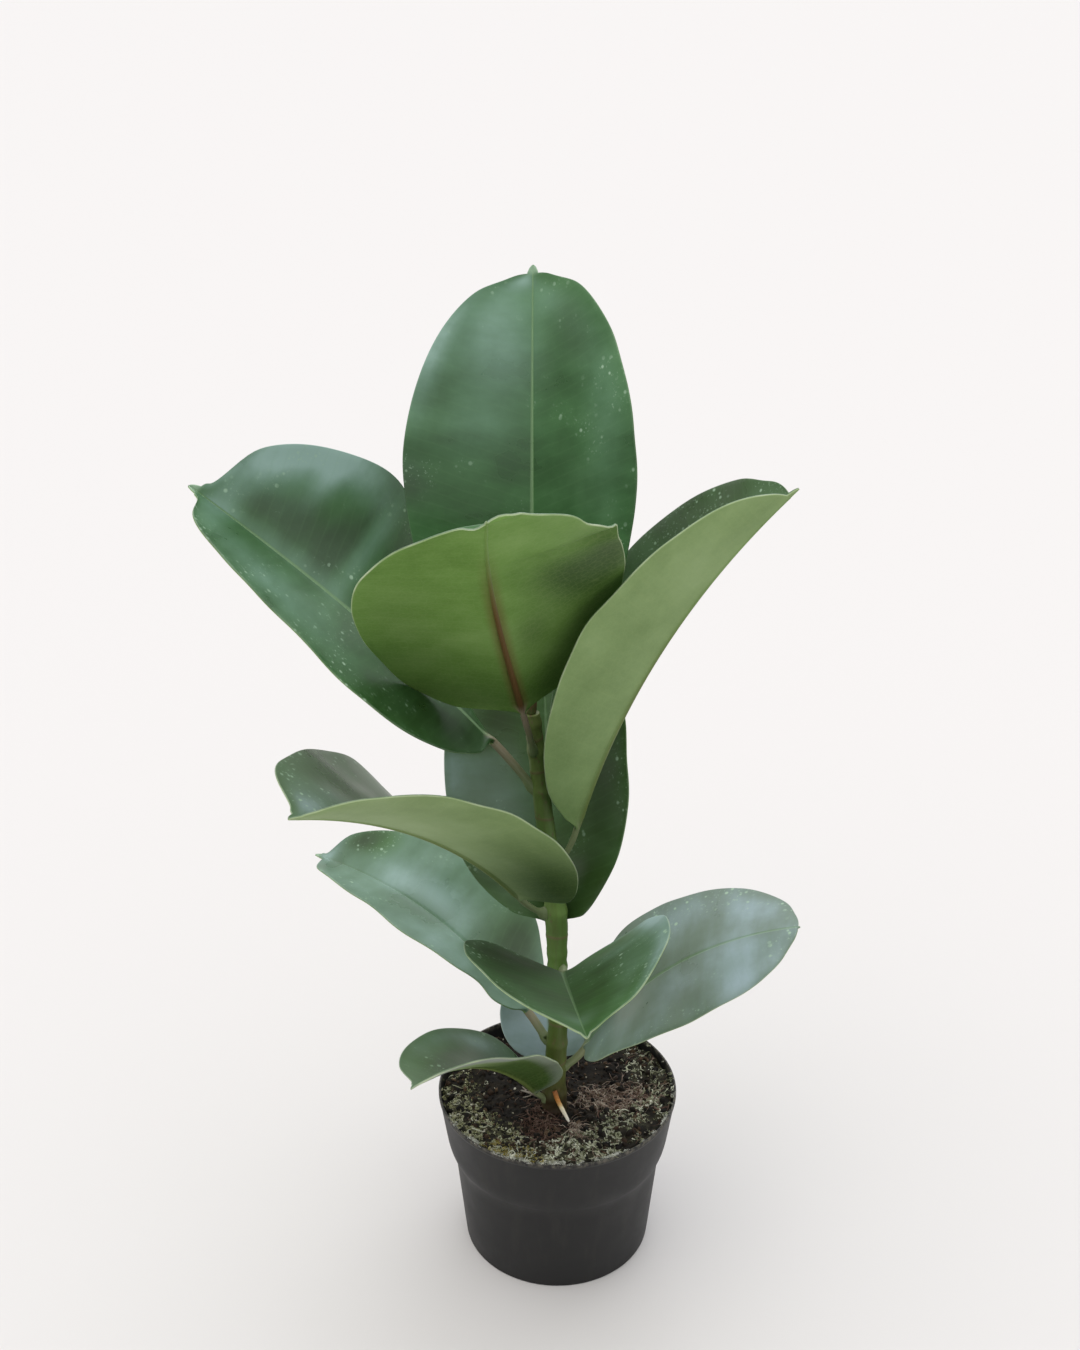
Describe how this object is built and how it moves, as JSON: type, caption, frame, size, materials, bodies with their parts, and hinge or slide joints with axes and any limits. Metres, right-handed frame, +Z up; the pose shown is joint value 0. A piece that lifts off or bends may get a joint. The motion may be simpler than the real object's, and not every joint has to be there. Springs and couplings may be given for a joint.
{
  "type": "potted rubber plant",
  "caption": "Young rubber plant: one upright stem with broad glossy oval leaves, rooted in soil in a thin tapered plastic nursery pot with a stacking collar.",
  "frame": {"origin": "centre of the pot's flat underside, on the surface that it stands on", "axes": "+Z up along the pot's axis, -Y towards the plant's front, +X to its right as seen from the front"},
  "size_m": [0.2735, 0.2165, 0.4854],
  "materials": {
    "black_plastic": "thermoformed charcoal-black nursery pot, fine matte grain",
    "potting_soil": "moist peat-and-bark potting mix, crumbly, with a pale crust",
    "green_bark": "smooth olive-green bark, satin, reddish-brown at the foot",
    "bud_sheath": "smooth reddish sheath, satin",
    "root_skin": "pale dry root skin, matte",
    "leaf_skin": "waxy dark green upper face, glossy; pale matte underside"
  },
  "bodies": {
    "root": {"pot": "black_plastic", "potting_soil": "potting_soil", "main_stem": "green_bark", "terminal_bud": "bud_sheath", "aerial_root": "root_skin", "surface_root": "root_skin", "leaf_01_back_low": "leaf_skin", "leaf_02_left_low": "leaf_skin", "leaf_03_right_low": "leaf_skin", "leaf_04_left_back": "leaf_skin", "leaf_05_front_low": "leaf_skin", "leaf_06_back": "leaf_skin", "leaf_07_left_front": "leaf_skin", "leaf_08_right": "leaf_skin", "leaf_09_left_high": "leaf_skin", "leaf_10_front_high": "leaf_skin", "leaf_11_top": "leaf_skin"}
  },
  "joints": []
}
